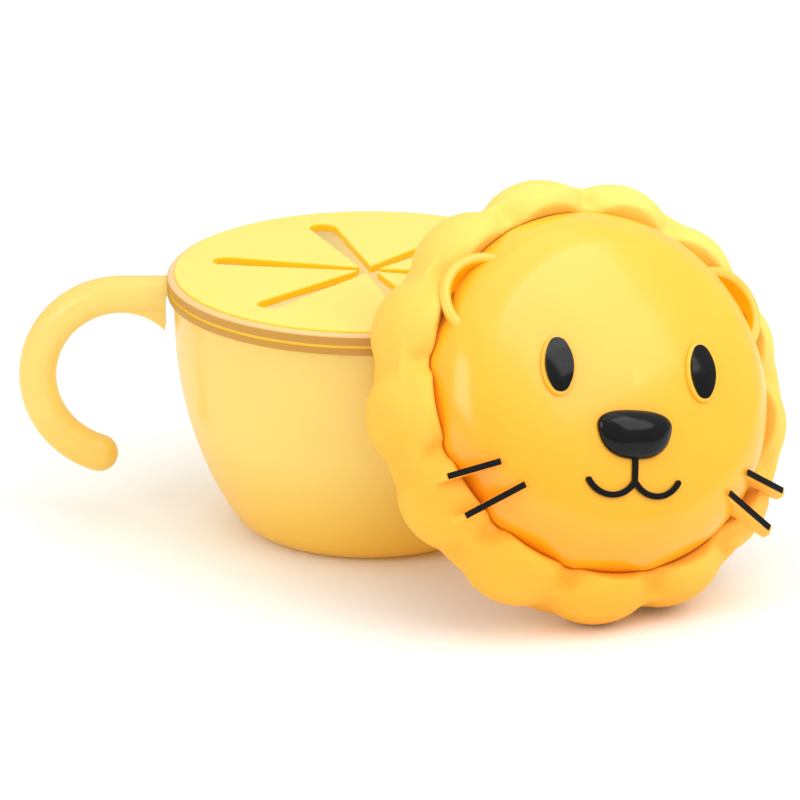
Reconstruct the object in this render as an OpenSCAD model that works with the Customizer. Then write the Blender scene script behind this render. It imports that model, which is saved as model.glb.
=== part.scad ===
// Toddler snack container. A round bowl has a snap-on collar with a hook handle, and the
// collar holds a soft trap with six flaps. The lion-head lid is off, as in the photograph:
// it stands on its mane and leans on the rim, with the rim's corner inside its mouth.
// Millimetres. Z is up, the bowl stands on Z = 0, and the handle points along -X.

/* [Bowl] */
// Outer radius at the shoulder under the collar
bowl_radius = 48.6; // [46:0.1:49.2]
// Height of the shoulder
shoulder_height = 60.4; // [57:0.2:66]
// Lean of the upper wall, in degrees
wall_lean = 2; // [0:0.25:4]
// Height at which the wall starts to curve in
curve_start = 49.8; // [46:0.2:54]
// Radius of the side's curve
side_curve = 92; // [84:1:110]
// Radius of the curve at the foot
foot_curve = 10; // [7:0.5:13]
// Wall thickness
bowl_wall = 2; // [1.4:0.1:2.6]
// Wall of the neck inside the collar
neck_wall = 1.8; // [1.3:0.1:2.4]
// Height over which the wall thickens into the neck
neck_taper = 2.4; // [1.5:0.1:4]

/* [Collar] */
// Outer radius of the collar
collar_radius = 50; // [49.8:0.1:52]
// Height of the collar
collar_height = 5.2; // [4.6:0.1:7]
// Radius of the bore that clips on the neck
collar_bore = 47.6; // [46.6:0.1:47.8]
// Bevel round the top edge
collar_bevel = 0.8; // [0.3:0.1:1.2]
// Height of the groove above the collar's foot
groove_height = 1.6; // [1.2:0.1:2.2]
// Width of the groove
groove_width = 0.8; // [0.5:0.1:1.2]
// Depth of the groove
groove_depth = 0.6; // [0.3:0.1:0.9]

/* [Trap] */
// Radius of the soft disc
trap_radius = 48.3; // [48.1:0.1:48.8]
// Thickness of the soft disc
trap_thickness = 2.2; // [1.6:0.1:2.8]
// How far the disc stands proud of the collar
trap_proud = 0.6; // [0.2:0.1:1]
// Number of flaps is six: the nodes name them. Bearing of the first slit, in degrees
slit_bearing = 49; // [30:1:60]
// Distance from the middle to a slit's outer end
slit_reach = 39.4; // [37:0.2:40.6]
// Half the slit's width at its round outer end
slit_end_radius = 3.3; // [2.6:0.1:3.8]
// Half the slit's width at the middle
slit_half_width = 1.1; // [0.8:0.1:1.5]
// Radius of the hole that blunts the flaps' tips
centre_hole = 2.3; // [1.8:0.1:3.5]
// Gap between a flap's root and the disc
root_gap = 0.08; // [0.05:0.01:0.2]

/* [Handle] */
// Thickness of the handle's round bar
bar_thickness = 9.4; // [8:0.1:10.4]
// Radius of the hook, to the middle of the bar
hook_radius = 21.4; // [19:0.2:25]
// Distance from the bowl's axis to the hook's centre
hook_offset = 61.3; // [60:0.2:66]
// How far the hook turns below its widest point, in degrees
hook_turn = 73; // [60:1:85]
// Drop of the handle's top below the collar's top
handle_drop = 1.35; // [1:0.05:1.8]
// Thickness of the web under the root
web_thickness = 6.5; // [4:0.1:7]
// Height of the web below the shoulder
web_depth = 10.4; // [8:0.1:12]
// Radius of the web's curved edge
web_curve = 14.6; // [13:0.1:16]
// Step where the round tip meets the bar
tip_step = 0.05; // [0.03:0.01:0.2]
// Overlap of the web's curved edge with the bar
web_bite = 0.8; // [0.4:0.1:1.2]
// Gap between the web and the bowl's wall, past the collar's radius
web_gap = 0.6; // [0.4:0.1:1.5]

/* [Lid] */
// Lean of the lid's axis from upright, in degrees
lid_lean = 60.2; // [56:0.2:66]
// Bearing of the side it leans on, from -Y towards +X, in degrees
lid_turn = 29; // [20:1:40]
// Turn of the lid about its own axis, in degrees
lid_roll = 12; // [5:0.5:20]
// Distance the lid stands sideways of the point of the rim that it leans on
lid_shift = 21.3; // [15:0.1:24]
// Gap left where the lid meets the rim and the floor
rest_gap = 0.3; // [0.1:0.05:0.5]
// Gap round the collar when the lid is on
lid_clearance = 0.35; // [0.25:0.05:0.6]
// Wall of the skirt
skirt_wall = 1.25; // [1:0.05:1.6]
// Level of the collar's foot above the lid's zero plane, when the lid is on
collar_foot_level = 1.6; // [1.2:0.1:2]
// Level of the skirt's foot above the lid's zero plane
skirt_foot = 2; // [2:0.1:2.6]
// Width of the chamfer round the skirt's foot
foot_chamfer = 0.7; // [0.6:0.05:0.9]
// Height of that chamfer
foot_chamfer_height = 1.1; // [1:0.1:1.4]
// Bite of the snap bead into the collar's groove
bead_bite = 0.25; // [0.1:0.05:0.4]
// Gap above and below the snap bead in the groove
bead_gap = 0.1; // [0.05:0.05:0.2]
// Gap between the closed lid and the trap
trap_headroom = 0.2; // [0.1:0.05:0.5]
// Clearance each side of the handle in the skirt's notch
notch_clearance = 1.2; // [0.8:0.1:2]

/* [Mane] */
// Number of lobes round the mane
lobe_count = 13; // [12:1:14]
// Radius of the ring that the lobes' centres lie on
lobe_ring = 46.8; // [46.4:0.1:48]
// How much nearer to the axis the lobes at the sides are
lobe_side_pull = 1.8; // [0:0.1:2.2]
// Half the thickness of a lobe, measured outwards
lobe_half_thickness = 8.2; // [7.8:0.1:8.6]
// Half the width of a lobe, which is also half its height
lobe_half_width = 12.5; // [12.2:0.1:13]
// Half the width at which a lobe's two domed sides would meet, past its round edge
lobe_lens = 14.4; // [13.9:0.1:15.4]
// Width of the creases between lobes
crease_width = 0.4; // [0.2:0.05:0.6]
// Height at which the creases' floor ends
crease_top = 18.6; // [18.2:0.1:19]
// Wall between the face cap and the hollow in the mane
mane_wall = 1.8; // [1.4:0.1:2.2]
// Depth of the hollow in the mane, above the skirt's ledge
pocket_depth = 9.8; // [6:0.2:9.8]
// Height at which the face cap sits, above the lid's mouth
face_seat = 16; // [14.5:0.5:17]
// Width of the seat
seat_width = 1.75; // [1.2:0.05:2]

/* [Face] */
// Radius of the face cap
face_radius = 44.4; // [43.8:0.1:44.8]
// Height of the face above the lid's mouth
face_height = 38.5; // [37:0.5:41]
// Radius of the face's dome
dome_radius = 120; // [110:1:150]
// Radius of the face's rounded edge
face_edge = 14.5; // [12:0.5:15]
// Wall of the face cap
face_wall = 1.75; // [1.4:0.05:2.2]
// Distance of each eye from the middle line
eye_out = 19; // [17:0.5:22]
// Height of the eyes above the middle of the face
eye_up = 2; // [0:0.5:4]
// Half the width of an eye
eye_half_width = 3.5; // [3:0.1:4.5]
// Half the height of an eye
eye_half_height = 6.65; // [5.5:0.05:7.5]
// Radius of an eye's ends
eye_end = 2.3; // [1.8:0.1:2.6]
// Crown of an eye above the face
eye_crown = 2.1; // [1.9:0.1:2.4]
// Depth of an eye's flat back in the face
eye_sink = 0.2; // [0.2:0.05:0.5]
// Radius of the curve over an eye
eye_curve = 24; // [23:1:40]
// Distance of the nose's upper corners from the middle line
nose_out = 6.2; // [5:0.1:8]
// Height of those corners, above the middle of the face
nose_top = -12.1; // [-14:0.1:-10]
// Height of the nose's lower corner
nose_foot = -16.3; // [-18:0.1:-15]
// Radius of the nose's corners
nose_corner = 3.7; // [2.6:0.1:4]
// Crown of the nose above the face
nose_crown = 3.3; // [2.8:0.1:4.5]
// Radius of the curve over the nose
nose_curve = 34; // [30:1:60]
// Radius of the mouth's line
line_radius = 0.72; // [0.5:0.02:1]
// Height of the point where the mouth's curves meet
mouth_join = -25.1; // [-27:0.1:-24]
// Radius of the mouth's curves
smile_radius = 6.9; // [6:0.1:8]
// Sideways place of the curves' centres
smile_out = 5.95; // [5:0.05:6.5]
// Radius of an ear, to the middle of its rim
ear_radius = 10; // [9.4:0.1:10.4]
// Thickness of an ear's rim
ear_rim = 2.7; // [2:0.1:3.4]
// Distance of an ear's centre from the lid's axis
ear_reach = 37.8; // [37:0.2:39]
// Height of the ear's rim above the lid's mouth
ear_height = 27.2; // [26:0.2:28]
// Radius of the hollow in an ear
ear_hollow = 8.8; // [8:0.1:9]
// Angle between the top of the face and each ear, in degrees
ear_swing = 57.6; // [55:0.2:60]
// Lean of an ear, outwards, in degrees
ear_tilt = 15; // [5:1:20]
// Thickness of a whisker's fin
fin_thickness = 1.5; // [1:0.1:2.5]
// How far a fin's inner end stands proud of the face
fin_proud = 0.5; // [0.2:0.1:1]
// Radius of a fin's outer end
fin_end = 2.2; // [1.5:0.1:3]
// Slope of a fin's top edge, in degrees
fin_slope = 20; // [15:1:26]
// Thickness of the black line on a fin
ink_thickness = 0.45; // [0.2:0.05:0.7]

/* [Hidden] */
$fn = 96;
eps = 0.01;

flap_count = 6;
flap_step = 360 / flap_count;

bowl_colour = [1.0, 0.86, 0.45];
collar_colour = [0.85, 0.66, 0.25];
trap_colour = [1.0, 0.92, 0.47];
mane_colour = [1.0, 0.85, 0.45];
face_colour = [1.0, 0.80, 0.20];
ear_colour = [1.0, 0.66, 0.15];
ink_colour = [0.04, 0.04, 0.04];

// Levels that the bowl, the collar and the trap share.
collar_top = shoulder_height + collar_height;
trap_top = collar_top + trap_proud;
trap_bottom = trap_top - trap_thickness;

// The bowl's side is a straight leaning wall, then a wide arc, then the foot's arc.
curve_top_radius = bowl_radius - (shoulder_height - curve_start) * tan(wall_lean);
side_centre = [
    curve_top_radius - side_curve * cos(wall_lean),
    curve_start + side_curve * sin(wall_lean)
];
foot_centre = [
    side_centre.x + sqrt(pow(side_curve - foot_curve, 2) - pow(side_centre.y - foot_curve, 2)),
    foot_curve
];
foot_direction = (foot_centre - side_centre) / norm(foot_centre - side_centre);

// A flap's root is a chord between the outer ends of two slits.
root_distance = slit_reach * cos(flap_step / 2);
root_height = trap_bottom + trap_thickness / 2;
root_half_length = slit_reach * sin(flap_step / 2) - 0.8 * slit_end_radius;

// The hook hangs from a straight root that is level with the collar.
hook_height = collar_top - handle_drop - bar_thickness / 2 - hook_radius;

// An oval with round ends: its long sides are arcs of this radius.
function oval_side(short, long, end) =
    (pow(long - end, 2) + pow(short, 2) - pow(end, 2)) / (2 * (short - end));
function oval_join(short, long, end) =
    (long - end) * oval_side(short, long, end) / (oval_side(short, long, end) - end);

lobe_step = 360 / lobe_count;
lobe_level = lobe_half_width;
lobe_side = (pow(lobe_lens, 2) + pow(lobe_half_thickness, 2)) / (2 * lobe_half_thickness);

// The lid's skirt goes over the collar, and its ledge stops just above the trap.
skirt_bore = collar_radius + lid_clearance;
skirt_radius = skirt_bore + skirt_wall;
bead_bore = collar_radius - bead_bite;
ledge_level = collar_foot_level + collar_height + trap_proud + trap_headroom;
bead_foot = collar_foot_level + groove_height + bead_gap;
bead_top = collar_foot_level + groove_height + groove_width - bead_gap;
face_clearance = 0.05;
seat_bore = face_radius - seat_width;
web_radius = face_radius + mane_wall + face_clearance;
web_top = face_seat + 4.5;

// Where the lid stands: its lowest lobe sets its height above the floor, and the point
// where the mouth's edge would meet the rim sets how far the rim's corner goes in.
lobe_offset = abs(lid_roll - lobe_step * round(lid_roll / lobe_step));
lobe_dip = sin(lid_lean) * cos(lobe_offset);
lobe_reach_down = lobe_side - (lobe_side - lobe_half_thickness) * lobe_dip;
lid_centre_height = rest_gap / 6 + lobe_ring * lobe_dip + lobe_reach_down - lobe_level * cos(lid_lean);
mouth_rise = (collar_top - lid_centre_height) / sin(lid_lean);
rim_half_chord = sqrt(pow(bead_bore - rest_gap, 2) - pow(mouth_rise, 2)) - lid_shift;
rim_entry = sin(lid_lean) * (collar_radius - sqrt(pow(collar_radius, 2) - pow(rim_half_chord, 2)));
lid_drop = (collar_top - lid_centre_height - rim_entry * cos(lid_lean)) / sin(lid_lean);
away = [sin(lid_turn), -cos(lid_turn), 0];
across = [cos(lid_turn), sin(lid_turn), 0];
up = [0, 0, 1];
lid_axis = away * sin(lid_lean) + up * cos(lid_lean);
lid_down = away * cos(lid_lean) - up * sin(lid_lean);
lid_centre = away * collar_radius + up * collar_top + lid_down * lid_drop
    + across * lid_shift - lid_axis * rim_entry;

// The face's dome and its rounded edge, which meets the lobes.
dome_centre = face_height - dome_radius;
edge_centre = [
    face_radius - face_edge,
    dome_centre + sqrt(pow(dome_radius - face_edge, 2) - pow(face_radius - face_edge, 2))
];
edge_direction = [edge_centre.x, edge_centre.y - dome_centre] / (dome_radius - face_edge);
smile_level = mouth_join + sqrt(pow(smile_radius, 2) - pow(smile_out, 2));

ear_bearing = 90 - ear_swing;
ear_foot = face_seat - 1;

// A ball that follows the face's edge where an ear sits on it, a hair inside the edge.
ear_seat_turn = 35;
ear_seat_low = edge_centre + [face_edge, 0];
ear_seat_high = edge_centre + face_edge * [cos(ear_seat_turn), sin(ear_seat_turn)];
ear_seat_level = (pow(norm(ear_seat_high), 2) - pow(norm(ear_seat_low), 2))
    / (2 * (ear_seat_high.y - ear_seat_low.y));
ear_seat_radius = norm(ear_seat_low - [0, ear_seat_level]);

// Each whisker on the right-hand side: its inner end, its direction and its length.
upper_whisker = [[33, -20.7], -15, 13.6];
lower_whisker = [[27.3, -26.2], -27.5, 16.4];
fin_foot = web_top + 1.5;

function face_level(r) =
    r < dome_radius * edge_direction.x
    ? dome_centre + sqrt(pow(dome_radius, 2) - pow(r, 2))
    : edge_centre.y + sqrt(pow(face_edge, 2) - pow(r - edge_centre.x, 2));

module bowl_section(inset, top) {
    side_r = side_curve - inset;
    foot_r = foot_curve - inset;
    start = side_centre + side_r * [cos(wall_lean), -sin(wall_lean)];
    join = foot_centre + foot_r * foot_direction;
    polygon([
        [0, start.y - eps], [start.x, start.y - eps], start,
        [start.x + (top - start.y) * tan(wall_lean), top], [0, top]
    ]);
    intersection() {
        translate(side_centre) circle(side_r, $fn = 720);
        translate([0, join.y]) square([side_r, start.y - join.y]);
    }
    polygon([
        [0, foot_centre.y - foot_r], [foot_centre.x, foot_centre.y - foot_r],
        foot_centre, join, [0, join.y]
    ]);
    translate(foot_centre) circle(foot_r);
}

module bowl_hollow() {
    taper_start = shoulder_height - 2 * neck_taper;
    neck_bore = collar_bore - neck_wall;
    start_radius = bowl_radius - bowl_wall / cos(wall_lean)
        - (shoulder_height - taper_start) * tan(wall_lean);
    bowl_section(bowl_wall, taper_start);
    polygon([
        [0, taper_start - eps], [start_radius, taper_start - eps], [start_radius, taper_start],
        [neck_bore, taper_start + neck_taper], [neck_bore, trap_bottom + 1],
        [0, trap_bottom + 1]
    ]);
}

module bowl() {
    color(bowl_colour)
    rotate_extrude()
    difference() {
        union() {
            bowl_section(0, shoulder_height);
            translate([0, shoulder_height - 1]) square([collar_bore, trap_bottom - shoulder_height + 1]);
        }
        bowl_hollow();
    }
}

module trap_collar() {
    color(collar_colour)
    rotate_extrude()
    polygon([
        [collar_bore, shoulder_height],
        [collar_radius, shoulder_height],
        [collar_radius, shoulder_height + groove_height],
        [collar_radius - groove_depth, shoulder_height + groove_height + 0.1],
        [collar_radius - groove_depth, shoulder_height + groove_height + groove_width - 0.1],
        [collar_radius, shoulder_height + groove_height + groove_width],
        [collar_radius, collar_top - collar_bevel],
        [collar_radius - collar_bevel, collar_top],
        [trap_radius, collar_top],
        [trap_radius, trap_bottom],
        [collar_bore, trap_bottom]
    ]);
}

module web_section() {
    curve_height = hook_height + hook_radius - bar_thickness / 2 + web_bite - web_curve;
    difference() {
        translate([-hook_offset + web_bite, shoulder_height - web_depth])
        square([
            hook_offset - web_bite - collar_bore,
            hook_height + hook_radius - shoulder_height + web_depth
        ]);
        translate([-hook_offset, curve_height]) circle(web_curve);
    }
}

module handle() {
    tip = hook_radius * [-cos(hook_turn), -sin(hook_turn)];
    color(bowl_colour)
    difference() {
        union() {
            translate([-hook_offset, 0, hook_height])
            rotate([90, 0, 0])
            rotate([0, 0, 90])
            rotate_extrude(angle = 90 + hook_turn)
            translate([hook_radius, 0]) circle(d = bar_thickness);
            translate([-hook_offset + tip.x, 0, hook_height + tip.y])
            sphere(bar_thickness / 2 - tip_step);
            translate([-hook_offset, 0, hook_height + hook_radius])
            rotate([0, 90, 0]) cylinder(d = bar_thickness, h = hook_offset - collar_bore);
            rotate([90, 0, 0]) linear_extrude(web_thickness, center = true) web_section();
        }
        translate([0, 0, shoulder_height - eps])
        cylinder(r = collar_radius, h = collar_height + bar_thickness, $fn = 240);
        translate([0, 0, hook_height - hook_radius])
        cylinder(r = collar_radius + web_gap, h = shoulder_height - hook_height + hook_radius, $fn = 240);
    }
}

// One slit, along +X from the middle: it widens to a round outer end.
module slit_plan() {
    end_at = slit_reach - slit_end_radius;
    polygon([
        [-slit_half_width, -slit_half_width], [end_at, -slit_end_radius],
        [end_at, slit_end_radius], [-slit_half_width, slit_half_width]
    ]);
    translate([end_at, 0]) circle(slit_end_radius);
}

module trap_ring() {
    color(trap_colour)
    difference() {
        translate([0, 0, trap_bottom]) cylinder(r = trap_radius, h = trap_thickness, $fn = 240);
        rotate([0, 0, slit_bearing])
        translate([0, 0, trap_bottom - 1]) cylinder(r = slit_reach, h = trap_thickness + 2, $fn = 6);
        for (side = [0 : flap_count - 1]) {
            rotate([0, 0, slit_bearing + side * flap_step])
            translate([slit_reach - slit_end_radius, 0, trap_bottom - 1])
            cylinder(r = slit_end_radius, h = trap_thickness + 2);
            rotate([0, 0, slit_bearing + (side + 0.5) * flap_step])
            translate([root_distance - 1, -root_half_length, trap_bottom - 1])
            cube([1 + trap_thickness / 2 + root_gap, 2 * root_half_length, trap_thickness + 2]);
        }
    }
}

module flap(side) {
    bearing = slit_bearing + (side + 0.5) * flap_step;
    half_step = flap_step / 2;
    color(trap_colour)
    intersection() {
        rotate([0, 0, bearing])
        translate([0, 0, root_height]) {
            translate([0, -root_half_length, -trap_thickness / 2])
            cube([root_distance, 2 * root_half_length, trap_thickness]);
            translate([root_distance, 0, 0])
            rotate([90, 0, 0])
            cylinder(d = trap_thickness, h = 2 * (root_half_length - root_gap), center = true);
        }
        translate([0, 0, trap_bottom - 1])
        linear_extrude(trap_thickness + 2)
        rotate([0, 0, bearing])
        difference() {
            polygon([
                [0, 0],
                [slit_reach + 4, -(slit_reach + 4) * tan(half_step)],
                [slit_reach + 4, (slit_reach + 4) * tan(half_step)]
            ]);
            rotate([0, 0, -half_step]) slit_plan();
            rotate([0, 0, half_step]) slit_plan();
            circle(centre_hole);
        }
    }
}

module flap_1() { flap(0); }
module flap_2() { flap(1); }
module flap_3() { flap(2); }
module flap_4() { flap(3); }
module flap_5() { flap(4); }
module flap_6() { flap(5); }

// The lid's own frame: its mouth is at Z = 0, it opens towards -Z, and +Y is up the face.
module lid_place() {
    translate(lid_centre)
    rotate([lid_lean, 0, lid_turn])
    rotate([0, 0, -lid_roll])
    children();
}

module oval_plan(short, long, end) {
    side = oval_side(short, long, end);
    join = oval_join(short, long, end);
    intersection() {
        translate([-(side - short), 0]) circle(side, $fn = 240);
        translate([side - short, 0]) circle(side, $fn = 240);
        square([2 * long, 2 * join], center = true);
    }
    for (way = [-1, 1])
        translate([0, way * (long - end)]) circle(end);
}

// A lobe of the mane: two domed sides, and a round edge that is part of a ball. Its flanks
// are cut flat, and leave the crease open beside the next lobe.
module lobe(ring) {
    half_step = lobe_step / 2;
    apex = crease_width / 2 / sin(half_step);
    flank = (2 * lobe_ring - apex) * tan(half_step);
    intersection() {
        translate([ring, 0, lobe_level])
        rotate([0, 90, 0])
        rotate_extrude()
        intersection() {
            translate([0, lobe_half_thickness - lobe_side]) circle(lobe_side, $fn = 180);
            translate([0, lobe_side - lobe_half_thickness]) circle(lobe_side, $fn = 180);
            circle(lobe_half_width, $fn = 180);
            translate([0, -lobe_half_width]) square(2 * lobe_half_width);
        }
        linear_extrude(2 * lobe_half_width + 1)
        polygon([[apex, 0], [2 * lobe_ring, -flank], [2 * lobe_ring, flank]]);
    }
}

module lobes(turns = [0 : lobe_count - 1]) {
    for (turn = turns)
        let (bearing = 90 + (turn + 0.5) * lobe_step)
            rotate([0, 0, bearing]) lobe(lobe_ring - lobe_side_pull * pow(cos(bearing), 2));
}

// The rings carry the lobes and close the creases between them.
module mane_rings() {
    rotate_extrude($fn = 240)
    polygon([
        [0, skirt_foot], [skirt_radius - foot_chamfer, skirt_foot],
        [skirt_radius, skirt_foot + foot_chamfer_height], [skirt_radius, crease_top],
        [web_radius, crease_top], [web_radius, web_top], [0, web_top]
    ]);
}

// The mane round one bearing: the rings and the nearest lobes only.
module mane_near(bearing) {
    nearest = round((bearing - 90) / lobe_step - 0.5);
    lobes([nearest - 1 : nearest + 1]);
    mane_rings();
}

module lid_mane() {
    notch = bar_thickness + 2 * notch_clearance;
    notch_top = collar_foot_level + collar_height - handle_drop + notch_clearance / 2;
    color(mane_colour)
    lid_place()
    difference() {
        union() {
            lobes();
            mane_rings();
        }
        rotate_extrude($fn = 240)
        polygon([
            [0, -1], [skirt_bore, -1], [skirt_bore, bead_foot], [bead_bore, bead_foot],
            [bead_bore, bead_top], [skirt_bore, bead_top], [skirt_bore, ledge_level],
            [0, ledge_level]
        ]);
        cylinder(r = seat_bore, h = web_top + lobe_half_width, $fn = 240);
        translate([0, 0, face_seat])
        cylinder(r = face_radius + face_clearance, h = lobe_half_width * 2, $fn = 240);
        translate([0, 0, ledge_level - eps])
        difference() {
            cylinder(r = skirt_bore, h = pocket_depth, $fn = 240);
            translate([0, 0, -1]) cylinder(r = web_radius, h = pocket_depth + 2, $fn = 240);
        }
        translate([seat_bore, -notch / 2, -1])
        cube([lobe_ring, notch, notch_top + 1]);
    }
}

module face_section(inset, foot) {
    dome_r = dome_radius - inset;
    edge_r = face_edge - inset;
    join = [0, dome_centre] + dome_r * edge_direction;
    intersection() {
        translate([0, dome_centre]) circle(dome_r, $fn = 1440);
        translate([0, join.y]) square([join.x, dome_r]);
    }
    polygon([[0, edge_centre.y], edge_centre, join, [0, join.y + eps]]);
    intersection() {
        translate(edge_centre) circle(edge_r);
        translate(edge_centre) square(edge_r);
    }
    translate([0, foot]) square([face_radius - inset, edge_centre.y - foot]);
}

module face_solid(inset, foot) {
    rotate([0, 0, 90])
    rotate_extrude($fn = 240)
    face_section(inset, foot);
}

module face_outside() {
    face_solid(0, face_seat);
}

module on_dome(x, y) {
    bearing = atan2(y, x);
    translate([0, 0, dome_centre])
    rotate([0, 0, bearing])
    rotate([0, asin(norm([x, y]) / dome_radius), 0])
    rotate([0, 0, -bearing])
    translate([0, 0, dome_radius])
    children();
}

module lid_face() {
    color(face_colour)
    lid_place()
    difference() {
        face_outside();
        face_solid(face_wall, face_seat - 1);
    }
}

module eye(way) {
    color(ink_colour)
    lid_place()
    on_dome(way * eye_out, eye_up)
    intersection() {
        translate([0, 0, -eye_sink])
        linear_extrude(2 * eye_crown) oval_plan(eye_half_width, eye_half_height, eye_end);
        translate([0, 0, eye_crown - eye_curve]) sphere(eye_curve, $fn = 360);
    }
}

module eye_left() { eye(-1); }
module eye_right() { eye(1); }

// A rounded triangle. Its sides cut the corners' circles a hair inside the tangent.
module nose_plan() {
    corners = [[nose_out, 0], [-nose_out, 0], [0, nose_foot - nose_top]];
    inside = 0.996 * nose_corner;
    for (corner = corners)
        translate(corner) circle(nose_corner);
    polygon([
        for (i = [0 : 2])
            let (from = corners[i], to = corners[(i + 1) % 3], run = to - from)
            each [
                from + inside * [-run.y, run.x] / -norm(run),
                to + inside * [-run.y, run.x] / -norm(run)
            ]
    ]);
}

module nose() {
    color(ink_colour)
    lid_place()
    difference() {
        on_dome(0, nose_top)
        intersection() {
            translate([0, 0, -1]) linear_extrude(2 * nose_crown) nose_plan();
            translate([0, nose_foot / 8, nose_crown - nose_curve]) sphere(nose_curve, $fn = 480);
        }
        face_outside();
    }
}

module smile_plan(way) {
    translate([way * smile_out, smile_level - mouth_join])
    difference() {
        circle(smile_radius + line_radius);
        circle(smile_radius - line_radius);
        translate([-2 * smile_radius, mouth_join - smile_level])
        square(4 * smile_radius);
    }
    translate([2 * way * smile_out, 0]) circle(line_radius);
}

// The line's plan, from the point where its curves meet.
module mouth_plan() {
    smile_plan(-1);
    smile_plan(1);
    translate([-line_radius, -eps])
    square([2 * line_radius, nose_foot - nose_corner + 1 - mouth_join]);
    intersection() {
        circle(line_radius);
        translate([-line_radius, -line_radius]) square([2 * line_radius, line_radius]);
    }
}

module mouth() {
    color(ink_colour)
    lid_place()
    difference() {
        intersection() {
            on_dome(0, mouth_join)
            translate([0, 0, -line_radius - 1]) linear_extrude(4 * line_radius + 1) mouth_plan();
            translate([0, 0, dome_centre]) sphere(dome_radius + line_radius, $fn = 720);
        }
        translate([0, 0, dome_centre]) sphere(dome_radius, $fn = 720);
        on_dome(0, nose_top)
        translate([0, 0, -1]) linear_extrude(2 * nose_crown) nose_plan();
    }
}

module ear(way) {
    color(ear_colour)
    lid_place()
    difference() {
        rotate([0, 0, 90 - way * (90 - ear_bearing)])
        translate([ear_reach, 0, ear_height])
        rotate([0, ear_tilt, 0])
        difference() {
            union() {
                translate([0, 0, ear_foot - ear_height])
                cylinder(r = ear_radius + ear_rim / 2, h = ear_height - ear_foot);
                rotate_extrude() translate([ear_radius, 0]) circle(d = ear_rim);
            }
            translate([0, 0, 1.5]) sphere(ear_hollow);
        }
        translate([0, 0, ear_seat_level]) sphere(ear_seat_radius, $fn = 240);
        mane_near(90 - way * (90 - ear_bearing));
    }
}

module ear_left() { ear(-1); }
module ear_right() { ear(1); }

// A fin's side view: X runs outwards from its inner end and Y is the height.
function fin_top(whisker) = face_level(norm(whisker[0])) + fin_proud;
function fin_end_centre(whisker) = [
    whisker[2] - fin_end,
    fin_top(whisker) - (whisker[2] - fin_end) * tan(fin_slope) - fin_end / cos(fin_slope)
];

module fin_section(whisker) {
    polygon([
        [0, fin_foot], [0, fin_top(whisker)],
        for (turn = [fin_slope : (90 - fin_slope) / 5 : 90])
            fin_end_centre(whisker) + fin_end * [sin(turn), cos(turn)],
        [whisker[2], fin_foot]
    ]);
}

// The line lies on the straight top edge, up to the fin's round end.
module ink_section(whisker) {
    outward = [sin(fin_slope), cos(fin_slope)];
    last = fin_end_centre(whisker) + fin_end * outward;
    polygon([
        [0, fin_top(whisker)], [0, fin_top(whisker) + ink_thickness / cos(fin_slope)],
        last + ink_thickness * outward, last
    ]);
}

module fin_place(way, whisker) {
    lid_place()
    mirror([way < 0 ? 1 : 0, 0, 0])
    translate([whisker[0].x, whisker[0].y, 0])
    rotate([0, 0, whisker[1]])
    rotate([90, 0, 0])
    children();
}

module whisker_fin(way, whisker) {
    color(mane_colour)
    difference() {
        fin_place(way, whisker) linear_extrude(fin_thickness, center = true) fin_section(whisker);
        lid_place() {
            face_outside();
            mane_near(atan2(whisker[0].y, way * whisker[0].x));
        }
    }
}

module whisker_ink(way, whisker) {
    color(ink_colour)
    fin_place(way, whisker)
    linear_extrude(fin_thickness, center = true) ink_section(whisker);
}

module whisker_left_upper() { whisker_fin(-1, upper_whisker); }
module whisker_left_lower() { whisker_fin(-1, lower_whisker); }
module whisker_right_upper() { whisker_fin(1, upper_whisker); }
module whisker_right_lower() { whisker_fin(1, lower_whisker); }
module whisker_ink_left_upper() { whisker_ink(-1, upper_whisker); }
module whisker_ink_left_lower() { whisker_ink(-1, lower_whisker); }
module whisker_ink_right_upper() { whisker_ink(1, upper_whisker); }
module whisker_ink_right_lower() { whisker_ink(1, lower_whisker); }

bowl();
handle();
trap_collar();
trap_ring();
flap_1();
flap_2();
flap_3();
flap_4();
flap_5();
flap_6();
lid_mane();
lid_face();
ear_left();
ear_right();
eye_left();
eye_right();
nose();
mouth();
whisker_left_upper();
whisker_left_lower();
whisker_right_upper();
whisker_right_lower();
whisker_ink_left_upper();
whisker_ink_left_lower();
whisker_ink_right_upper();
whisker_ink_right_lower();
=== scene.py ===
# %% [markdown]
# # A toddler's snack container with a lion lid
#
# The object has three parts. A round bowl of tinted see-through plastic has a hook handle.
# A soft disc with six slits closes the bowl, held by a stiff collar. A domed lid with a
# lion's face leans on the rim. The solids come from the frame in metres, and this file
# gives them their finish and adds the soft forms that the solids don't have.

# %% Load the frame
import math

import bmesh
import bpy
from mathutils import Matrix, Vector


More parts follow.
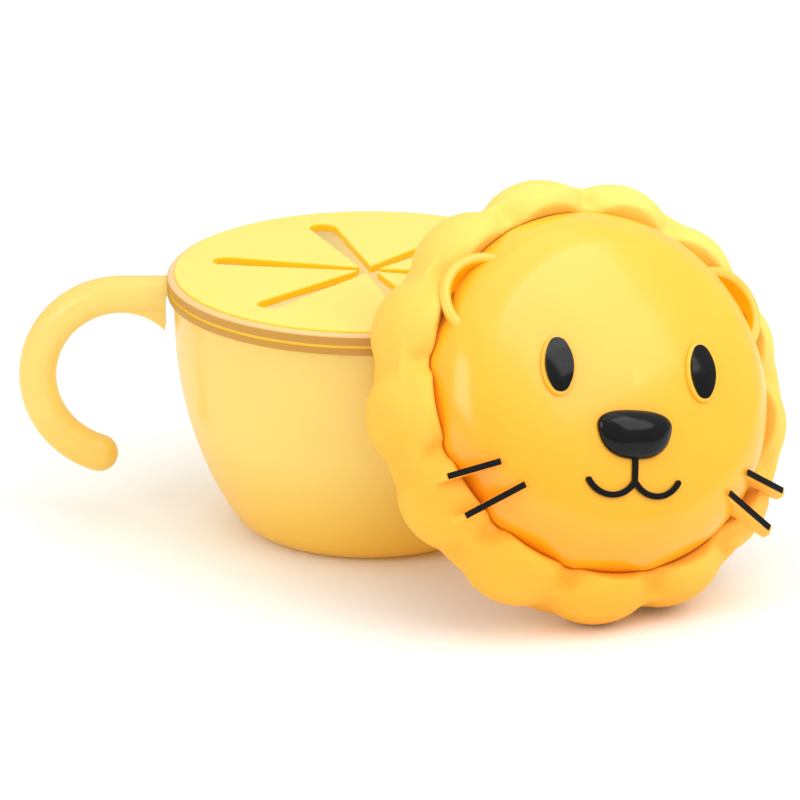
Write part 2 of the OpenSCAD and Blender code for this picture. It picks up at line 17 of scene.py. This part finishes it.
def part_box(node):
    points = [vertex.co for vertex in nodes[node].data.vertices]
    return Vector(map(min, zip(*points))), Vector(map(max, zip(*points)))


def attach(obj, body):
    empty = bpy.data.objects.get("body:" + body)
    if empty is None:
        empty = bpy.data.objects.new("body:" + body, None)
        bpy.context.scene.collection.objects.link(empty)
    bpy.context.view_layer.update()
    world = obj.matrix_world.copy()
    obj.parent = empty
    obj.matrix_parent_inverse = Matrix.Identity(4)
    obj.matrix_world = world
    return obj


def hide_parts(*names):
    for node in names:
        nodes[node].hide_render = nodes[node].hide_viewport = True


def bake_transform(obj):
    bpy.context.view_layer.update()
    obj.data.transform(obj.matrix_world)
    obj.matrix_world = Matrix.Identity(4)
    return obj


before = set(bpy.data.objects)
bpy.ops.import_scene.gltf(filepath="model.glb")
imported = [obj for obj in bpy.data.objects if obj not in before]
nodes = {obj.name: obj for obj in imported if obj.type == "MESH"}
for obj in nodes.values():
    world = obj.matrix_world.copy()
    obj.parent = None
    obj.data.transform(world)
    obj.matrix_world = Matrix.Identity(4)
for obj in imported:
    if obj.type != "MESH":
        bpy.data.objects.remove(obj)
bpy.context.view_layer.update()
MM = 0.001
print("solids:", len(nodes))

# %% [markdown]
# ## Colours and nodes
#
# A colour is written as a hex value, as in a paint program, and the shader wants it linear.
# One function turns the one into the other. A second adds a shader node with its settings
# and its links, so that a material reads as a short list.

# %% Helpers for materials


def linear(code):
    """The linear colour of an sRGB hex value."""
    values = [int(code[i:i + 2], 16) / 255 for i in (0, 2, 4)]
    return [v / 12.92 if v <= 0.04045 else ((v + 0.055) / 1.055) ** 2.4 for v in values] + [1]


def add(tree, kind, settings=None, links=None):
    """A node with its settings, and with its inputs linked or set."""
    node = tree.nodes.new(kind)
    for name, value in (settings or {}).items():
        setattr(node, name, value)
    for name, value in (links or {}).items():
        if isinstance(value, bpy.types.NodeSocket):
            tree.links.new(value, node.inputs[name])
        else:
            node.inputs[name].default_value = value
    return node


def material(name):
    """An empty material, its tree, and Object coordinates."""
    made = bpy.data.materials.new(name)
    made.use_nodes = True
    made.node_tree.nodes.clear()
    where = add(made.node_tree, "ShaderNodeTexCoord")
    return made, made.node_tree, where.outputs["Object"]


def finish_tree(tree, shader):
    """Link the last shader to the material's output."""
    add(tree, "ShaderNodeOutputMaterial", links={"Surface": shader.outputs[0]})


def between(tree, share, first, second):
    """A colour between two others, by a share from 0 to 1."""
    return add(tree, "ShaderNodeMix", {"data_type": "RGBA"}, {
        "Factor": share, "A": first, "B": second}).outputs["Result"]


def mottle(tree, where, size_mm, low, high):
    """A soft noise between two colours, with blotches of the given size."""
    noise = add(tree, "ShaderNodeTexNoise", links={
        "Vector": where, "Scale": 1 / (size_mm * MM), "Detail": 2.0, "Roughness": 0.5})
    return between(tree, noise.outputs["Fac"], linear(low), linear(high))


def grain(tree, where, size_mm, depth_mm, strength):
    """The fine bump of a moulded surface."""
    noise = add(tree, "ShaderNodeTexNoise", links={
        "Vector": where, "Scale": 1 / (size_mm * MM), "Detail": 3.0, "Roughness": 0.6})
    return add(tree, "ShaderNodeBump", links={
        "Height": noise.outputs["Fac"], "Distance": depth_mm * MM, "Strength": strength}).outputs["Normal"]


def ramp(tree, value, start, end):
    """A share that grows from 0 to 1 while a value goes from start to end."""
    return add(tree, "ShaderNodeMapRange", links={
        "Value": value, "From Min": start, "From Max": end}).outputs["Result"]


def height_of(tree, where):
    """The Z part of a vector."""
    return add(tree, "ShaderNodeSeparateXYZ", links={"Vector": where}).outputs["Z"]


print("helpers ready")

# %% [markdown]
# ## The lid's own frame
#
# The lid leans, so it is easier to place small things in its own frame: the mouth is at
# zero, the face points along Z, and Y goes up the face.

# %% Place things on the lid
LID = Matrix((
    (0.905601, -0.053829, 0.420701, 46.9386 * MM),
    (0.383844, 0.525962, -0.758965, -40.7448 * MM),
    (-0.180419, 0.848803, 0.496974, 43.0536 * MM),
    (0, 0, 0, 1),
))
DOME = 120 * MM
DOME_CENTRE = 38.5 * MM - DOME
EAR_SWING = math.radians(57.6)
EAR_TILT = math.radians(15)
EAR_REACH = 37.8 * MM
EAR_HEIGHT = 27.2 * MM
EAR_RISE = 1.5 * MM


def turned(bearing):
    """A turn about the Z axis."""
    return Matrix.Rotation(bearing, 4, "Z")


def on_dome(x_mm, y_mm):
    """The place on the face at a point of the face's plan."""
    bearing = math.atan2(y_mm, x_mm)
    tilt = math.asin(math.hypot(x_mm, y_mm) * MM / DOME)
    lean = turned(bearing) @ Matrix.Rotation(tilt, 4, "Y") @ turned(-bearing)
    return LID @ Matrix.Translation((0, 0, DOME_CENTRE)) @ lean @ Matrix.Translation((0, 0, DOME))


def ear_hollow(way):
    """The centre of the ball that hollows an ear: way is -1 for the left ear and 1 for the right."""
    bearing = math.pi / 2 - way * EAR_SWING
    rim = turned(bearing) @ Matrix.Translation((EAR_REACH, 0, EAR_HEIGHT)) @ Matrix.Rotation(EAR_TILT, 4, "Y")
    return LID @ rim @ Vector((0, 0, EAR_RISE))


print("left ear's hollow:", [round(v, 4) for v in ear_hollow(-1)])

# %% [markdown]
# ## Tinted polypropylene
#
# The bowl and the handle are injection moulded in clear-tinted polypropylene. It is cloudy,
# so light comes through but shapes behind it blur, and it looks deeper at the foot and at
# the edges. A translucent share lets daylight through the wall, a rough transmission gives
# the cloud, and the colour deepens slowly towards the foot. The inner side is paler and
# glows faintly, which stands in for the daylight scattered by the wall.

# %% Tinted polypropylene
BOWL_MIDDLE = (0, 0, 40 * MM)
TINT_FOOT = 2 * MM
TINT_TOP = 30 * MM
GLOW_DIVISOR = 5
THROUGH_SHARE = 0.3


def inner_side(tree, where):
    """A share that is 1 on faces that look towards the middle of the bowl."""
    arm = add(tree, "ShaderNodeVectorMath", {"operation": "SUBTRACT"}, {0: where, 1: BOWL_MIDDLE})
    normal = add(tree, "ShaderNodeNewGeometry").outputs["Normal"]
    outward = add(tree, "ShaderNodeVectorMath", {"operation": "DOT_PRODUCT"}, {0: arm.outputs[0], 1: normal})
    return add(tree, "ShaderNodeMath", {"operation": "LESS_THAN"}, {
        0: outward.outputs["Value"], 1: 0.0}).outputs[0]


def tinted_polypropylene(name, pale_inside):
    """Tinted plastic that deepens towards the foot, with a pale inner side if asked."""
    made, tree, where = material(name)
    level = ramp(tree, height_of(tree, where), TINT_FOOT, TINT_TOP)
    depth = between(tree, level, linear("FFCC08"), linear("FFE786"))
    colour = between(tree, 0.3, depth, mottle(tree, where, 16, "FFE88A", "FFE27A"))
    inside = 0.0
    if pale_inside:
        inner = inner_side(tree, where)
        colour = between(tree, inner, colour, linear("FFF6D2"))
        inside = ramp(tree, inner, 0, GLOW_DIVISOR)
    bump = grain(tree, where, 0.8, 0.02, 0.25)
    shell = add(tree, "ShaderNodeBsdfPrincipled", links={
        "Base Color": colour, "Roughness": 0.28, "IOR": 1.49, "Transmission Weight": 0.15,
        "Coat Weight": 0.25, "Coat Roughness": 0.15, "Normal": bump,
        "Emission Color": colour, "Emission Strength": inside})
    glow = add(tree, "ShaderNodeBsdfTranslucent", links={"Color": colour, "Normal": bump})
    finish_tree(tree, add(tree, "ShaderNodeMixShader", links={
        0: THROUGH_SHARE, 1: shell.outputs[0], 2: glow.outputs[0]}))
    return made


# %% [markdown]
# ## Opaque plastics and the soft disc
#
# The collar is a stiff moulding with a satin surface. Its colour carries painted light:
# brown is painted shade on its yellow, a bright yellow band runs at its groove, a peach
# painted highlight runs along its top edge, and cream on its inner side is painted light.
# The disc is a thermoplastic elastomer: soft, a little waxy, with light that spreads under
# its skin; its cut walls get a deeper yellow than its top, which is painted shade. The ears
# have the face's yellow with a painted shade of deep orange in their hollows. The mane has a
# matte soft-touch skin, and the face is smooth gloss. The black pieces are gloss black.
#
# The mane and the face also pale slowly towards the upper right. The plastic itself doesn't:
# this paints the light of the photographed view into the colour, and it moves with the lid.

# %% Colours that change over a piece
BLOTCH_MM = 18
LIGHT_FROM = (0.48, 0, 0.877)
LIGHT_START = 40 * MM
LIGHT_END = 112 * MM
PAINTED_LIGHT_SHARE = 0.75
GROOVE_LEVEL = 62.4 * MM
GROOVE_HALF = 0.36 * MM
RIM_HIGHLIGHT_START = 64.7 * MM
RIM_HIGHLIGHT_END = 65.1 * MM
EAR_SHADE_EDGE = (8.85 * MM, 9.1 * MM)


def blotches(low, high):
    """A colour for a plastic: two close tones in soft blotches."""
    return lambda tree, where: mottle(tree, where, BLOTCH_MM, low, high)


def painted_light_wash(deep, pale):
    """A deep tone at the lower left that pales towards the upper right: painted light and shade."""
    def colour(tree, where):
        reach = add(tree, "ShaderNodeVectorMath", {"operation": "DOT_PRODUCT"}, {0: where, 1: LIGHT_FROM})
        share = ramp(tree, reach.outputs["Value"], LIGHT_START, LIGHT_END)
        blotched = mottle(tree, where, BLOTCH_MM, deep, pale)
        return between(tree, PAINTED_LIGHT_SHARE, blotched, between(tree, share, linear(deep), linear(pale)))
    return colour


def collar_colour_with_painted_light(tree, where):
    """Painted brown shade, a bright yellow groove, a peach painted highlight at the rim, and cream painted
    light on the inner side.
    """
    height = height_of(tree, where)
    groove = add(tree, "ShaderNodeMath", {"operation": "COMPARE"}, {
        0: height, 1: GROOVE_LEVEL, 2: GROOVE_HALF}).outputs[0]
    # Brown is painted shade on the collar's yellow, and the groove is a bright yellow band.
    shaded_brown = between(tree, groove, mottle(tree, where, BLOTCH_MM, "BE8626", "C68F30"), linear("FFD846"))
    # The peach band at the top is a painted highlight.
    rim = between(tree, ramp(tree, height, RIM_HIGHLIGHT_START, RIM_HIGHLIGHT_END), shaded_brown, linear("F2C684"))
    # Cream on the inner side is painted light, standing in for daylight through the bowl.
    return between(tree, inner_side(tree, where), rim, linear("FFF3C4"))


def disc_colour_with_painted_shade(tree, where):
    """Pale lemon on top, with deep yellow as painted shade where the attribute says that a face is a wall."""
    wall = add(tree, "ShaderNodeAttribute", {"attribute_name": "wall"}).outputs["Fac"]
    share = ramp(tree, wall, 0.1, 0.8)
    return between(tree, share, mottle(tree, where, BLOTCH_MM, "FFDB62", "FFDF6A"), linear("FFCC00"))


def ear_colour_with_painted_shade(way):
    """The face's yellow, with deep orange painted shade inside the hollow."""
    def colour(tree, where):
        reach = add(tree, "ShaderNodeVectorMath", {"operation": "DISTANCE"}, {0: where, 1: ear_hollow(way)})
        share = ramp(tree, reach.outputs["Value"], *EAR_SHADE_EDGE)
        return between(tree, share, linear("FFBC00"), mottle(tree, where, BLOTCH_MM, "FFC440", "FFCA4C"))
    return colour


# %% Opaque plastics


def plastic(name, colour, roughness, coat=0.0, spread=0.0, grain_mm=0.6, bump=0.15, ior=1.5):
    """A moulded plastic with a fine grain and a share of light under its skin."""
    made, tree, where = material(name)
    shader = add(tree, "ShaderNodeBsdfPrincipled", links={
        "Base Color": colour(tree, where), "Roughness": roughness, "IOR": ior,
        "Coat Weight": coat, "Coat Roughness": 0.08,
        "Subsurface Weight": spread, "Subsurface Scale": 2 * MM,
        "Subsurface Radius": (1.0, 0.6, 0.15),
        "Normal": grain(tree, where, grain_mm, 0.02, bump)})
    finish_tree(tree, shader)
    return made


PLASTICS = {
    "clear": tinted_polypropylene("tinted polypropylene, thin wall", True),
    "clear_thick": tinted_polypropylene("tinted polypropylene, thick bar", False),
    "collar": plastic("moulded ABS, satin", collar_colour_with_painted_light, 0.35),
    "disc": plastic("thermoplastic elastomer, moulded", disc_colour_with_painted_shade, 0.42, spread=0.2),
    "mane": plastic(
        "soft-touch coating on ABS", painted_light_wash("FFB020", "FFE476"), 0.6,
        spread=0.1, grain_mm=0.35, bump=0.3, ior=1.4),
    "face": plastic("moulded ABS, polished", painted_light_wash("FFA200", "FFCC3C"), 0.24, coat=0.2, spread=0.05),
    # The ears' deep orange hollows are painted shade.
    "ear_left": plastic("moulded ABS, painted shade in hollow, left", ear_colour_with_painted_shade(-1), 0.3, coat=0.3, spread=0.1),
    "ear_right": plastic("moulded ABS, painted shade in hollow, right", ear_colour_with_painted_shade(1), 0.3, coat=0.3, spread=0.1),
    "black": plastic(
        "moulded ABS, polished black", blotches("030303", "070606"), 0.14, coat=0.08, bump=0.05, ior=1.3),
}
FINISHES = {
    "clear": ["bowl"],
    "clear_thick": ["handle"],
    "collar": ["trap_collar"],
    "disc": ["trap_ring"] + [f"flap_{k}" for k in range(1, 7)],
    "mane": ["lid_mane"] + [n for n in nodes if n.startswith("whisker") and "ink" not in n],
    "face": ["lid_face"],
    "ear_left": ["ear_left"],
    "ear_right": ["ear_right"],
    "black": ["eye_left", "eye_right", "nose", "mouth"] + [n for n in nodes if "ink" in n],
}
for finish, names in FINISHES.items():
    for name in names:
        nodes[name].data.materials.clear()
        nodes[name].data.materials.append(PLASTICS[finish])
print({finish: len(names) for finish, names in FINISHES.items()})

# %% [markdown]
# ## Turning solids into soft skins
#
# The soft disc is one sheet, and the mane is one skin of pillows. Both start from copies of
# their solids. A voxel remesh melts the copies into one skin of even squares, and a smooth
# step rounds every edge, as a soft material does.

# %% Helpers for pieces


def copy_of(names):
    """One bmesh that holds copies of some solids."""
    together = bmesh.new()
    for name in names:
        together.from_mesh(nodes[name].data)
    bmesh.ops.remove_doubles(together, verts=together.verts, dist=1e-6)
    return together


def object_from(mesh_data, name, finish=None):
    """An object at the origin from a bmesh, with its plastic."""
    mesh = bpy.data.meshes.new(name)
    mesh_data.to_mesh(mesh)
    mesh_data.free()
    made = bpy.data.objects.new(name, mesh)
    bpy.context.scene.collection.objects.link(made)
    if finish:
        mesh.materials.clear()
        mesh.materials.append(PLASTICS[finish])
        mesh.shade_smooth()
    return made


def keep_modifiers(piece):
    """Turn what a piece's modifiers make into its mesh."""
    graph = bpy.context.evaluated_depsgraph_get()
    kept = bpy.data.meshes.new_from_object(piece.evaluated_get(graph))
    piece.modifiers.clear()
    piece.data = kept
    kept.shade_smooth()
    return piece


def melt(piece, voxel_mm, rounds):
    """Melt a piece into one skin, round it, and keep the result."""
    remesh = piece.modifiers.new("skin", "REMESH")
    remesh.mode = "VOXEL"
    remesh.voxel_size = voxel_mm * MM
    soften = piece.modifiers.new("soften", "SMOOTH")
    soften.factor = 0.5
    soften.iterations = rounds
    return keep_modifiers(piece)


def cut_away(piece, cutter):
    """Cut one piece by another, and drop the cutter."""
    cut = piece.modifiers.new("cut", "BOOLEAN")
    cut.operation = "DIFFERENCE"
    cut.solver = "MANIFOLD"
    cut.object = cutter
    keep_modifiers(piece)
    bpy.data.objects.remove(cutter)


print("helpers ready")

# %% [markdown]
# ## The soft disc
#
# On the real object the disc is a single moulded sheet: each flap bends along its root and
# there is no joint. So the ring, the flaps and six bars over the roots are melted into one
# sheet, which is then cut between the flaps into six sectors. An attribute remembers which
# faces were walls before the cut.

# %% Melt the disc
FLAPS = 6
HALF_FLAP = math.radians(30)
SLIT_BEARING = math.radians(49)
ROOT = 39.4 * math.cos(math.radians(30)) * MM
low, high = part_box("trap_ring")
LEVEL = (low.z + high.z) / 2
THICK = high.z - low.z
BAR = (2.8 * MM, 31.4 * MM, THICK)
BAR_OUT = 0.8 * MM
DISC_VOXEL_MM = 0.4

sheet = copy_of(["trap_ring"] + [f"flap_{k + 1}" for k in range(FLAPS)])
for k in range(FLAPS):
    bearing = SLIT_BEARING + math.radians(60 * k + 30)
    place = turned(bearing) @ Matrix.Translation((ROOT + BAR_OUT, 0, LEVEL)) @ Matrix.Diagonal((*BAR, 1))
    bmesh.ops.create_cube(sheet, size=1, matrix=place)
disc = melt(object_from(sheet, "disc"), DISC_VOXEL_MM, 3)
# The wall attribute keys the deep yellow of the disc's walls, which is painted shade.
wall = disc.data.attributes.new("wall", "FLOAT", "POINT")
wall.data.foreach_set("value", [1 - abs(vertex.normal.z) for vertex in disc.data.vertices])
print("disc faces:", len(disc.data.polygons))

# %% Cut the disc into sectors
for k in range(FLAPS):
    middle = SLIT_BEARING + math.radians(60 * k + 30)
    sector = bmesh.new()
    sector.from_mesh(disc.data)
    for side in (-1, 1):
        edge = middle + side * HALF_FLAP
        outward = Vector((-math.sin(edge), math.cos(edge), 0)) * side
        geometry = sector.verts[:] + sector.edges[:] + sector.faces[:]
        bmesh.ops.bisect_plane(sector, geom=geometry, plane_co=(0, 0, 0), plane_no=outward, clear_outer=True)
    open_edges = [edge for edge in sector.edges if edge.is_boundary]
    bmesh.ops.holes_fill(sector, edges=open_edges, sides=0)
    piece = object_from(sector, f"disc_sector_{k + 1}", "disc")
    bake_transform(piece)
    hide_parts("trap_ring", f"flap_{k + 1}")
bpy.data.objects.remove(disc)
print("sectors made")

# %% [markdown]
# ## The mane
#
# The mane is a ring of thirteen puffy lobes with deep soft creases. Its solid has lobes with
# flat flanks, so a copy gets an egg-shaped pillow over each lobe, and both are melted into
# one skin. A funnel cut eases the lobes down to the face, and a second melt rounds that cut.
# The bore, the face's seat and the handle's notch are then cut clean again.
#
# The solid's skirt hides its lobes on the left of the picture, where the photo shows them.
# So the pillows there sit further out and nearer the mouth than on the right. This is made
# for the photographed view: the real mane is most likely the same all round.

# %% Melt the mane
LOBES = 13
PILLOW = (8.8 * MM, 12.3 * MM, 13.1 * MM)
RING = 46.2
LEFT_PUSH = 0.4
RIGHT_PULL = 1.8
PILLOW_LEVEL = 12.5
LEFT_DROP = 3
MANE_VOXEL_MM = 0.7
FUNNEL_RADII = (43.6 * MM, 47.8 * MM)
FUNNEL_DEPTH = 7 * MM
FUNNEL_LEVEL = 23.7 * MM
CAVITY = [(50.35, -3, 7.6), (42.65, 7, 17), (44.45, 16, 40), (70, -12, 0)]
NOTCH = ((42, -5.9, -3), (56, 5.9, 6.05))

fluff = copy_of(["lid_mane"])
for k in range(LOBES):
    bearing = math.radians(90 + (k + 0.5) * 360 / LOBES)
    leftward = max(0, -math.cos(bearing))
    ring = RING + LEFT_PUSH * leftward - RIGHT_PULL * max(0, math.cos(bearing)) ** 2
    level = PILLOW_LEVEL - LEFT_DROP * leftward
    place = LID @ turned(bearing) @ Matrix.Translation((ring * MM, 0, level * MM))
    place = place @ Matrix.Diagonal((*PILLOW, 1))
    bmesh.ops.create_uvsphere(fluff, u_segments=48, v_segments=24, radius=1, matrix=place)
mane = melt(object_from(fluff, "mane_skin", "mane"), MANE_VOXEL_MM, 3)
funnel = bmesh.new()
bmesh.ops.create_cone(
    funnel, cap_ends=True, segments=240, radius1=FUNNEL_RADII[0], radius2=FUNNEL_RADII[1],
    depth=FUNNEL_DEPTH, matrix=LID @ Matrix.Translation((0, 0, FUNNEL_LEVEL)))
cut_away(mane, object_from(funnel, "funnel"))
mane = melt(mane, MANE_VOXEL_MM, 2)
for radius, foot, top in CAVITY:
    bore = bmesh.new()
    place = LID @ Matrix.Translation((0, 0, (foot + top) / 2 * MM))
    bmesh.ops.create_cone(
        bore, cap_ends=True, segments=240, radius1=radius * MM, radius2=radius * MM,
        depth=(top - foot) * MM, matrix=place)
    cut_away(mane, object_from(bore, "bore"))
notch = bmesh.new()
middle = [(a + b) / 2 * MM for a, b in zip(*NOTCH)]
size = [(b - a) * MM for a, b in zip(*NOTCH)]
bmesh.ops.create_cube(notch, size=1, matrix=LID @ Matrix.Translation(middle) @ Matrix.Diagonal((*size, 1)))
cut_away(mane, object_from(notch, "notch"))
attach(mane, "lid")
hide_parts("lid_mane")
print("mane faces:", len(mane.data.polygons))

# %% [markdown]
# ## Pads under the eyes
#
# Each eye sits on a low pad that is moulded in one with the face. A pad is an oval disc
# with a rounded top edge.

# %% Eye pads
EYE_OUT_MM = 19
EYE_UP_MM = 2
PAD_HALF = (4.3 * MM, 7.4 * MM, 1)
PAD_ROOT = 0.5 * MM
PAD_THICK = 1.55 * MM
PAD_EDGE = 0.6 * MM
for side, x_mm in (("left", -EYE_OUT_MM), ("right", EYE_OUT_MM)):
    pad = bmesh.new()
    bmesh.ops.create_circle(pad, cap_ends=True, segments=64, radius=1)
    bmesh.ops.scale(pad, verts=pad.verts, vec=PAD_HALF)
    bmesh.ops.translate(pad, verts=pad.verts, vec=(0, 0, -PAD_ROOT))
    rise = bmesh.ops.extrude_face_region(pad, geom=pad.faces[:])
    top = [v for v in rise["geom"] if isinstance(v, bmesh.types.BMVert)]
    bmesh.ops.translate(pad, verts=top, vec=(0, 0, PAD_THICK))
    bmesh.ops.recalc_face_normals(pad, faces=pad.faces)
    rim = [e for e in pad.edges if all(v in top for v in e.verts)]
    bmesh.ops.bevel(pad, geom=rim, offset=PAD_EDGE, affect="EDGES", segments=5, profile=0.5, material=-1)
    pad.transform(on_dome(x_mm, EYE_UP_MM))
    piece = object_from(pad, f"eye_pad_{side}", "face")
    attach(piece, "lid")
print("pads made")

# %% [markdown]
# ## A rounded nose
#
# The nose is a plump polished bean: wide and level on top, narrower below, with no edge
# anywhere. A ball is pushed into that shape. Its outline is squarer than a circle, it narrows
# towards the mouth, and its hidden back is nearly flat so that it stays inside the face's wall.

# %% Nose
NOSE = (11.3, 5.9, 3.6)
NOSE_HEIGHT_MM = -14.2
SQUARENESS = 2.6
NARROWING = 0.16
BACK_SHARE = 0.22
bean = bmesh.new()
bmesh.ops.create_uvsphere(bean, u_segments=96, v_segments=48, radius=1)
for vertex in bean.verts:
    x, y, z = vertex.co
    out = math.hypot(x, y)
    if out > 1e-6:
        squarer = out / (abs(x) ** SQUARENESS + abs(y) ** SQUARENESS) ** (1 / SQUARENESS)
        x, y = x * squarer, y * squarer
    narrowing = 1 - NARROWING * (1 - y)
    depth = BACK_SHARE if z < 0 else 1
    vertex.co = (NOSE[0] * x * narrowing * MM, NOSE[1] * y * MM, NOSE[2] * z * depth * MM)
bean.transform(on_dome(0, NOSE_HEIGHT_MM))
nose_skin = object_from(bean, "nose_skin", "black")
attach(nose_skin, "lid")
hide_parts("nose")
print("nose made")

# %% [markdown]
# ## Floor, light and camera
#
# The floor is plain and almost white. The light is soft and comes from all round: a pale
# surround that is brightest overhead, a broad lamp above, one at the left and one at the
# upper right, which the glossy face reflects near its top.

# %% Floor
floor_mesh = bmesh.new()
bmesh.ops.create_grid(floor_mesh, x_segments=1, y_segments=1, size=6)
floor = object_from(floor_mesh, "floor")
white, tree, where = material("matt white paper")
finish_tree(tree, add(tree, "ShaderNodeBsdfPrincipled", links={
    "Base Color": mottle(tree, where, 400, "FCFCFB", "FFFFFE"), "Roughness": 0.9,
    "Specular IOR Level": 0.1}))
floor.data.materials.append(white)

# %% Light
world = bpy.data.worlds.new("pale surround")
bpy.context.scene.world = world
world.use_nodes = True
sky = world.node_tree
sky.nodes.clear()
facing = add(sky, "ShaderNodeTexCoord").outputs["Generated"]
strength = add(sky, "ShaderNodeMapRange", links={
    "Value": height_of(sky, facing), "From Min": 0.0, "From Max": 0.9, "To Min": 0.62, "To Max": 0.95})
surround = add(sky, "ShaderNodeBackground", links={
    "Color": (1, 1, 1, 1), "Strength": strength.outputs["Result"]})
add(sky, "ShaderNodeOutputWorld", links={"Surface": surround.outputs[0]})


def lamp(name, place, aim, width, watts):
    """A square soft lamp that points at a spot."""
    data = bpy.data.lights.new(name, "AREA")
    data.size = width
    data.energy = watts
    made = bpy.data.objects.new(name, data)
    bpy.context.scene.collection.objects.link(made)
    made.location = place
    made.rotation_euler = (Vector(aim) - Vector(place)).to_track_quat("-Z", "Y").to_euler()
    return made


lamp("overhead lamp", (0.1, -0.1, 0.9), (0, 0, 0), 0.9, 1.8)
lamp("left lamp", (-0.7, -0.6, 0.5), (0, 0, 0.04), 0.5, 2.2)
lamp("upper right lamp", (0.55, -0.35, 0.7), (0.05, -0.05, 0.06), 0.6, 2.4)
print("lamps:", len(bpy.data.lights))

# %% Camera
ELEVATION = math.radians(19.242)
camera_data = bpy.data.cameras.new("camera")
SENSOR_MM = 36
FOCAL_PIXELS = 5991.3
PICTURE_PIXELS = 800
CAMERA_DISTANCE = 1.5
camera_data.sensor_width = SENSOR_MM
camera_data.lens = FOCAL_PIXELS * SENSOR_MM / PICTURE_PIXELS
camera = bpy.data.objects.new("camera", camera_data)
bpy.context.scene.collection.objects.link(camera)
target = Vector((7.855, 0, 31.652)) * MM
camera.location = target + Vector((0, -math.cos(ELEVATION), math.sin(ELEVATION))) * CAMERA_DISTANCE
camera.rotation_euler = (math.pi / 2 - ELEVATION, 0, 0)
camera_data.clip_end = 20
bpy.context.scene.camera = camera
bpy.context.scene.view_settings.view_transform = "Standard"
print("lens:", round(camera_data.lens, 1))
